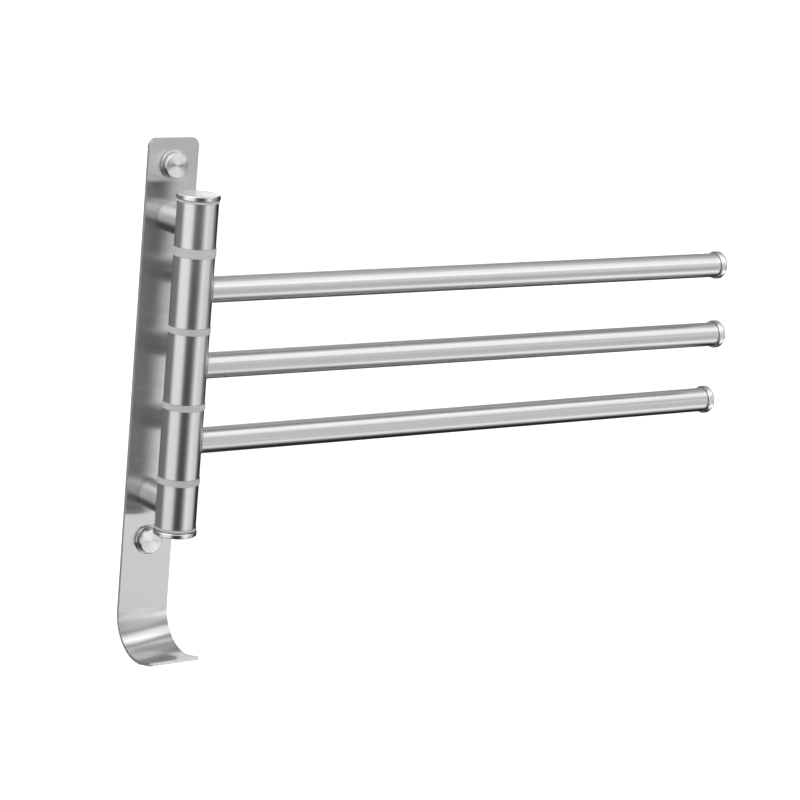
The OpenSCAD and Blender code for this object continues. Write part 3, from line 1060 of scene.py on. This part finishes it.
class TOWELBAR_OT_arms(bpy.types.Operator):
    """Finish the three arms' tubes and the weld beads that join them to their hubs"""

    bl_idname = "towelbar.arms"
    bl_label = "Arms"

    def execute(self, context):
        settings = context.scene.towel_bar
        tubes = settings.tubes
        trees = coped_tube_tree(), weld_bead_tree()
        tube = {
            "Wall": tubes.arm_wall,
            "Reach": tubes.arm_reach,
            "Rim": tubes.rim,
            "Sides": 160,
            "Material": brushed_steel("brushed_arm_steel", settings.finish),
        }
        for arm in ARMS:
            place = POST_AXIS @ Vector((0.0, 0.0, middle_of(f"{arm}_hub")))
            turn = -getattr(tubes, f"{arm}_turn")
            bar = {"Radius": tubes.arm_radius, "Turn": turn, "Place": place}
            names = f"{arm}_arm_weld", f"{arm}_tube", f"{arm}_arm", "arm_steel"
            weld_bar(settings, trees, *names, bar, tube, settings.fixings.bead)
        return {"FINISHED"}


class TOWELBAR_OT_end_caps(bpy.types.Operator):
    """Finish the turned caps at the ends of the arms"""

    bl_idname = "towelbar.end_caps"
    bl_label = "Arm End Caps"

    def execute(self, context):
        settings = context.scene.towel_bar
        turned, tubes = settings.turned, settings.tubes
        steel = brushed_steel("turned_end_steel", settings.finish)
        plug_play, bevel = 0.05 * MM, 0.5 * MM
        radius, edge = turned.end_cap_radius, turned.edge
        plug = tubes.arm_radius - tubes.arm_wall - plug_play
        seat = tubes.arm_radius - tubes.arm_wall / 2
        end = tubes.arm_reach
        tail, rim = end - turned.plug_length, end + turned.end_cap_relief
        face = end + turned.end_cap_height
        outline = [
            (0.0, tail), (plug - bevel, tail, edge), (plug, tail + bevel, edge),
            (plug, end), (seat, end), (seat, rim), (radius - bevel, rim, edge),
            (radius, rim + bevel, edge), (radius, face, turned.end_cap_round), (0.0, face),
        ]
        for arm in ARMS:
            place = on_arm(arm, getattr(tubes, f"{arm}_turn"))
            turn_piece("turned", f"{arm}_end_cap", outline, place, steel, f"{arm}_arm")
        return {"FINISHED"}


class TOWELBAR_OT_screw_covers(bpy.types.Operator):
    """Finish the two screw covers: a base ring that the screw holds, and a turned cap over it"""

    bl_idname = "towelbar.screw_covers"
    bl_label = "Screw Covers"

    def execute(self, context):
        settings = context.scene.towel_bar
        turned = settings.turned
        edge, bevel = turned.edge, turned.cover_bevel
        hole, sink, sink_depth = 1.75 * MM, 4.05 * MM, 2.3 * MM
        boss, base_bevel, cap_wall = 7 * MM, 0.4 * MM, 1 * MM
        for level in LEVELS:
            steel = brushed_steel(f"turned_{level}_cover_steel", settings.finish)
            base, cap = f"{level}_cover_base", f"{level}_cover_cap"
            place = on_wall(middle_of(base))
            (foot, seat), (under, top) = depth_of(base), depth_of(cap)
            shoulder = under - turned.cover_groove
            outline = [
                (hole, foot), (BASE_RADIUS, foot, edge),
                (BASE_RADIUS, shoulder - base_bevel, edge),
                (BASE_RADIUS - base_bevel, shoulder, edge), (boss, shoulder), (boss, seat),
                (sink, seat), (hole, seat - sink_depth),
            ]
            turn_piece("turned", base, outline, place, steel, closed=True)
            outline = [
                (0.0, top - cap_wall), (boss + THREAD_PLAY, top - cap_wall),
                (boss + THREAD_PLAY, under), (COVER_RADIUS, under, edge),
                (COVER_RADIUS, top - bevel, edge * 2),
                (COVER_RADIUS - bevel, top, edge * 2), (0.0, top),
            ]
            turn_piece("turned", cap, outline, place, steel)
        return {"FINISHED"}


class TOWELBAR_OT_wall_screws(bpy.types.Operator):
    """Finish the two wall screws: a core with a cross recess, and a thread wound round it"""

    bl_idname = "towelbar.wall_screws"
    bl_label = "Wall Screws"

    def execute(self, context):
        fixings = context.scene.towel_bar.fixings
        tree = screw_thread_tree()
        steel = plated_screw("plated_screw_steel")
        root, shank, head, tip = fixings.root_radius, 1.6 * MM, 4 * MM, 0.2 * MM
        thread_end, shank_end, head_bevel, head_edge = 0.4 * MM, 0.2 * MM, 0.1 * MM, 0.08 * MM
        bare_tip, bare_top = 0.3 * MM, 0.6 * MM
        for level in LEVELS:
            node = f"{level}_wall_screw"
            name = f"threaded_{node}"
            place = on_wall(middle_of(node))
            start, top = depth_of(node)
            outline = [
                (0.0, start), (tip, start), (root, start + fixings.point),
                (root, -thread_end), (shank, shank_end), (shank, top - head + shank),
                (head, top - head_bevel, head_edge), (head - head_bevel, top), (0.0, top),
            ]
            core = turned_mesh(name, outline, place, segments=48)
            core.attributes.remove(core.attributes["grain"])
            self.cut_cross(core, place, top)
            values = {
                "Pitch": fixings.pitch,
                "Length": -start - bare_tip - bare_top,
                "Root Radius": root,
                "Thread Height": fixings.thread_height,
                "Point": fixings.point,
                "Depth": -start - bare_tip,
                "Place": place.translation,
                "Material": steel,
            }
            fit(show(name, grow(name, tree, values, core)), node, "bracket", "screw_steel")
        return {"FINISHED"}

    def cut_cross(self, mesh, place, top):
        """Cuts the cross recess into the screw's head."""
        long, wide, deep = 4.4 * MM, 1.0 * MM, 2.8 * MM
        cutter = bmesh.new()
        for across, down in ((long, wide), (wide, long)):
            slot = Matrix.Translation((0, 0, top)) @ Matrix.Diagonal((across, down, deep, 1.0))
            bmesh.ops.create_cube(cutter, size=1.0, matrix=place @ slot)
        blank, tool = show("blank", mesh), show("recess", mesh_from(cutter, "cross_recess"))
        cut = blank.modifiers.new("recess", "BOOLEAN")
        cut.operation, cut.solver, cut.object, cut.use_self = "DIFFERENCE", "EXACT", tool, True
        shape = bmesh.new()
        shape.from_mesh(plain_mesh(blank))
        shape.to_mesh(mesh)
        shape.free()
        mesh.set_sharp_from_angle(angle=math.radians(30))
        for thing in (blank, tool):
            bpy.data.objects.remove(thing)


class TOWELBAR_OT_inner_fittings(bpy.types.Operator):
    """Finish the shaft inside the post and the two screws that hold the standoffs"""

    bl_idname = "towelbar.inner_fittings"
    bl_label = "Shaft and Standoff Screws"

    def execute(self, context):
        settings = context.scene.towel_bar
        shaft = brushed_steel("ground_shaft_steel", settings.finish)
        screw = plated_screw("plated_screw_steel")
        for node, material in (
            ("shaft", shaft),
            ("upper_joint_screw", screw),
            ("lower_joint_screw", screw),
        ):
            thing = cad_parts[node]
            if not thing.material_slots:
                thing.data.materials.append(material)
            for slot in thing.material_slots:
                slot.material = material
        return {"FINISHED"}


class TOWELBAR_OT_studio(bpy.types.Operator):
    """Set up the pale floor, the soft studio light and the camera"""

    bl_idname = "towelbar.studio"
    bl_label = "Studio"

    def execute(self, context):
        studio = context.scene.towel_bar.studio
        self.lay_floor(studio)
        self.hang_strips(studio)
        context.scene.world = self.hang_lights(studio)
        self.stand_camera(context, studio)
        context.scene.view_settings.view_transform = "Standard"
        context.scene.view_settings.look = "None"
        return {"FINISHED"}

    def lay_floor(self, studio):
        """A plain, pale, round floor that glows a little, so that it looks even."""
        shape = bmesh.new()
        bmesh.ops.create_circle(shape, cap_ends=True, segments=96, radius=9.0)
        mesh = mesh_from(shape, "studio_floor")
        mesh.transform(Matrix.Translation((0.0, 0.0, CAD_BOX[0][2] - studio.floor_drop)))
        material, tree = new_material("studio_floor")
        paper = tree.noise(coordinates(tree), 3.0, detail=1.0)
        tree.surface(
            {
                "Base Color": tree.blend(paper, (0.86, 0.86, 0.86, 1.0), (0.9, 0.9, 0.9, 1.0)),
                "Roughness": 0.9,
                "Emission Color": WHITE,
                "Emission Strength": 0.75,
            }
        )
        floor = show("studio_floor", mesh, material)
        floor.visible_glossy = False

    def hang_lights(self, studio):
        """A world of large soft lights with dark gaps between them, white behind the object."""
        world = bpy.data.worlds.new("studio_light")
        world.use_nodes = True
        tree = Tree(world.node_tree)
        x, y, z = tree.parts(tree.add("ShaderNodeTexCoord").of("Generated"))
        around = tree.math("ARCTAN2", y, x) * TO_DEGREES
        up = tree.math("ARCSINE", z) * TO_DEGREES
        light = studio.ambient
        for strength, middle, half, low, high, blur, fade in SOFT_LIGHTS.values():
            off = abs(tree.math("WRAP", around - middle, 180.0, -180.0))
            across = 1.0 - tree.between(off, half - blur, half + blur)
            light = light + strength * across * tree.band(up, low, high, fade)
        light = light * studio.light
        camera_ray, backdrop = tree.add("ShaderNodeLightPath").of("Is Camera Ray"), 1.05
        seen = light * (1.0 - camera_ray) + camera_ray * backdrop
        background = tree.add("ShaderNodeBackground", {}, {"Color": WHITE, "Strength": seen})
        tree.add("ShaderNodeOutputWorld", {}, {"Surface": background})
        return world

    def hang_strips(self, studio):
        """A curved screen beside the arms that gives off long strips of light. The camera doesn't
        see it, and it casts no shadow."""
        shape = bmesh.new()
        radius, front = studio.strip_distance, POST_AXIS.translation.y
        rows = []
        for k in range(SCREEN_FACETS + 1):
            turn = math.radians(SCREEN_FOOT + SCREEN_HEIGHT * k / SCREEN_FACETS)
            place = (front - radius * math.cos(turn), radius * math.sin(turn))
            rows.append([shape.verts.new((x, *place)) for x in SCREEN_ENDS])
        for one, two in zip(rows, rows[1:]):
            shape.faces.new((one[0], one[1], two[1], two[0]))
        mesh = mesh_from(shape, "studio_strips")
        material, tree = new_material("studio_strips")
        x, y, z = tree.parts(coordinates(tree))
        around = tree.math("ARCTAN2", z, (y - front) * -1.0) * TO_DEGREES
        light = 0.0
        for strength, left, right, low, high, blur, fade in STRIP_LIGHTS.values():
            across = tree.band(x, left, right, blur)
            light = strength * across * tree.band(around, low, high, fade) + light
        light = light * studio.light
        glow = tree.add("ShaderNodeEmission", {}, {"Color": WHITE, "Strength": light})
        clear = tree.add("ShaderNodeBsdfTransparent", {}, {"Color": WHITE})
        both = tree.add("ShaderNodeAddShader", {}, {0: glow, 1: clear})
        tree.add("ShaderNodeOutputMaterial", {}, {"Surface": both})
        strips = show("studio_strips", mesh, material)
        strips.visible_camera = strips.visible_shadow = False

    def stand_camera(self, context, studio):
        """The camera, at the photograph's place and angle."""
        data = bpy.data.cameras.new("camera")
        data.sensor_width = 36.0
        data.lens = studio.focal_length
        data.clip_start, data.clip_end = 0.05, 60.0
        camera = bpy.data.objects.new("camera", data)
        context.scene.collection.objects.link(camera)
        a, e = studio.azimuth, studio.elevation
        back = Vector((math.sin(a) * math.cos(e), -math.cos(a) * math.cos(e), math.sin(e)))
        level = (-back).to_track_quat("-Z", "Y")
        camera.rotation_mode = "QUATERNION"
        camera.rotation_quaternion = level @ Euler((0.0, 0.0, studio.roll)).to_quaternion()
        camera.location = studio.place
        context.scene.camera = camera


class VIEW3D_PT_towel_bar(bpy.types.Panel):
    """Lists the towel bar's steps"""

    bl_label = "Towel Bar"
    bl_space_type = "VIEW_3D"
    bl_region_type = "UI"
    bl_category = "Towel Bar"

    def draw(self, context):
        for operator in OPERATORS:
            self.layout.operator(operator.bl_idname)
        settings = context.scene.towel_bar
        for group in ("tubes", "turned", "plate", "fixings", "finish", "studio"):
            box = self.layout.box()
            values = getattr(settings, group)
            for name in values.__annotations__:
                box.prop(values, name)


OPERATORS = (
    TOWELBAR_OT_studio,
    TOWELBAR_OT_back_plate,
    TOWELBAR_OT_standoffs,
    TOWELBAR_OT_post_tubes,
    TOWELBAR_OT_bearing_rings,
    TOWELBAR_OT_post_caps,
    TOWELBAR_OT_arms,
    TOWELBAR_OT_end_caps,
    TOWELBAR_OT_screw_covers,
    TOWELBAR_OT_wall_screws,
    TOWELBAR_OT_inner_fittings,
)

CLASSES = (
    TowelBarTubes,
    TowelBarTurned,
    TowelBarPlate,
    TowelBarFixings,
    TowelBarFinish,
    TowelBarStudio,
    TowelBarSettings,
    *OPERATORS,
    VIEW3D_PT_towel_bar,
)


def register():
    for entry in CLASSES:
        bpy.utils.register_class(entry)
    bpy.types.Scene.towel_bar = PointerProperty(type=TowelBarSettings)


def unregister():
    del bpy.types.Scene.towel_bar
    for entry in reversed(CLASSES):
        bpy.utils.unregister_class(entry)


def main():
    """Finishes the whole object."""
    register()
    bpy.ops.towelbar.studio()
    bpy.ops.towelbar.back_plate()
    bpy.ops.towelbar.standoffs()
    bpy.ops.towelbar.post_tubes()
    bpy.ops.towelbar.bearing_rings()
    bpy.ops.towelbar.post_caps()
    bpy.ops.towelbar.arms()
    bpy.ops.towelbar.end_caps()
    bpy.ops.towelbar.screw_covers()
    bpy.ops.towelbar.wall_screws()
    bpy.ops.towelbar.inner_fittings()
    bpy.context.view_layer.update()


if __name__ == "__main__":
    main()
